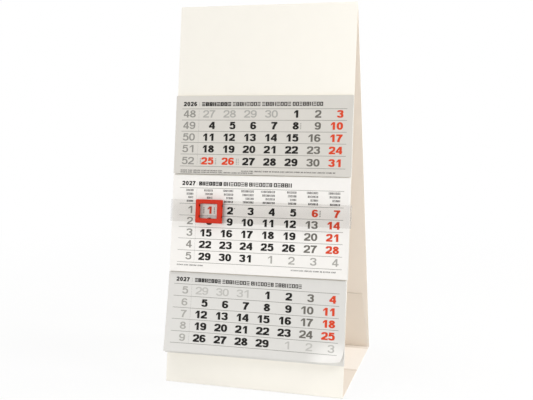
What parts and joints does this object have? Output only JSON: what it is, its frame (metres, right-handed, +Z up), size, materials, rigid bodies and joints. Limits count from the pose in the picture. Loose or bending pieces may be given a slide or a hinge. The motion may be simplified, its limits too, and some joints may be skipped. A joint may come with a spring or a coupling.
{
  "type": "desk calendar",
  "caption": "Tent-folded card desk calendar with stacked month pads, a clear film band and a red sliding date cursor; the stand folds flat.",
  "frame": {"origin": "middle of the floor under the whole object, halfway between its front and rear limits", "axes": "+Z up, +Y from the month pads towards the rear panel, +X to the right of someone who reads the pads"},
  "size_m": [0.1066, 0.091, 0.2157],
  "materials": {
    "card": "solid 400 g/m2 card, matte, uncoated and creased, cream white",
    "grey_paper": "thin uncoated paper with a light grey printed ground",
    "white_paper": "thin uncoated white paper",
    "glue": "dried padding glue",
    "clear_film": "clear glossy film",
    "red_plastic": "moulded red plastic, semi gloss",
    "black_ink": "flat black printing ink",
    "red_ink": "flat red printing ink",
    "grey_ink": "flat grey printing ink"
  },
  "bodies": {
    "front_panel": {"front_panel": "card", "top_pad_glue": "glue", "middle_pad_glue": "glue", "bottom_pad_glue": "glue", "top_sheet_02": "grey_paper", "top_sheet_03": "grey_paper", "top_sheet_04": "grey_paper", "top_sheet_05": "grey_paper", "top_sheet_06": "grey_paper", "top_sheet_07": "grey_paper", "top_sheet_08": "grey_paper", "top_sheet_09": "grey_paper", "top_sheet_10": "grey_paper", "top_sheet_11": "grey_paper", "top_sheet_12": "grey_paper", "middle_sheet_01": "white_paper", "middle_sheet_02": "white_paper", "middle_sheet_03": "white_paper", "middle_sheet_04": "white_paper", "middle_sheet_05": "white_paper", "middle_sheet_06": "white_paper", "middle_sheet_07": "white_paper", "middle_sheet_08": "white_paper", "middle_sheet_09": "white_paper", "middle_sheet_10": "white_paper", "middle_sheet_11": "white_paper", "middle_sheet_12": "white_paper", "bottom_sheet_02": "grey_paper", "bottom_sheet_03": "grey_paper", "bottom_sheet_04": "grey_paper", "bottom_sheet_05": "grey_paper", "bottom_sheet_06": "grey_paper", "bottom_sheet_07": "grey_paper", "bottom_sheet_08": "grey_paper", "bottom_sheet_09": "grey_paper", "bottom_sheet_10": "grey_paper", "bottom_sheet_11": "grey_paper", "bottom_sheet_12": "grey_paper"},
    "base_front": {"base_front": "card"},
    "base_rear": {"base_rear": "card"},
    "rear_panel": {"rear_panel": "card", "glue_flap": "card", "flap_glue": "glue"},
    "film_band": {"film_band": "clear_film"},
    "date_cursor": {"date_cursor": "red_plastic"},
    "top_page": {"top_sheet_01": "grey_paper"},
    "bottom_page": {"bottom_sheet_01": "grey_paper"}
  },
  "joints": [
    {"name": "front_crease", "type": "hinge", "parent": "front_panel", "child": "base_front", "pos_m": [-0.0003, -0.04056, 0.00065], "axis": [1, 0, 0], "range_deg": [0, 78.3]},
    {"name": "base_crease", "type": "hinge", "parent": "base_front", "child": "base_rear", "pos_m": [-0.0003, 0.00165, -0.0001], "axis": [-1, 0, 0], "range_deg": [0, 178]},
    {"name": "rear_crease", "type": "hinge", "parent": "base_rear", "child": "rear_panel", "pos_m": [-0.0003, 0.04385, 0.00065], "axis": [1, 0, 0], "range_deg": [0, 78.3]},
    {"name": "band_slide", "type": "slide", "parent": "front_panel", "child": "film_band", "axis": [0, -0.1931, -0.9812], "range_m": [-0.008, 0.027]},
    {"name": "cursor_slide", "type": "slide", "parent": "film_band", "child": "date_cursor", "axis": [1, 0, 0], "range_m": [-0.0152, 0.0722]},
    {"name": "top_page_lift", "type": "hinge", "parent": "front_panel", "child": "top_page", "pos_m": [-0.00015, -0.01097, 0.16448], "axis": [-1, -0.0008, -0.0043], "range_deg": [0, 165]},
    {"name": "bottom_page_lift", "type": "hinge", "parent": "front_panel", "child": "bottom_page", "pos_m": [-0.0003, -0.03078, 0.06381], "axis": [-1, -0.0012, -0.006], "range_deg": [0, 105]}
  ],
  "couplings": [
    {"joint": "front_crease", "follows": "base_crease", "ratio": 0.43963},
    {"joint": "rear_crease", "follows": "base_crease", "ratio": 0.43963}
  ]
}
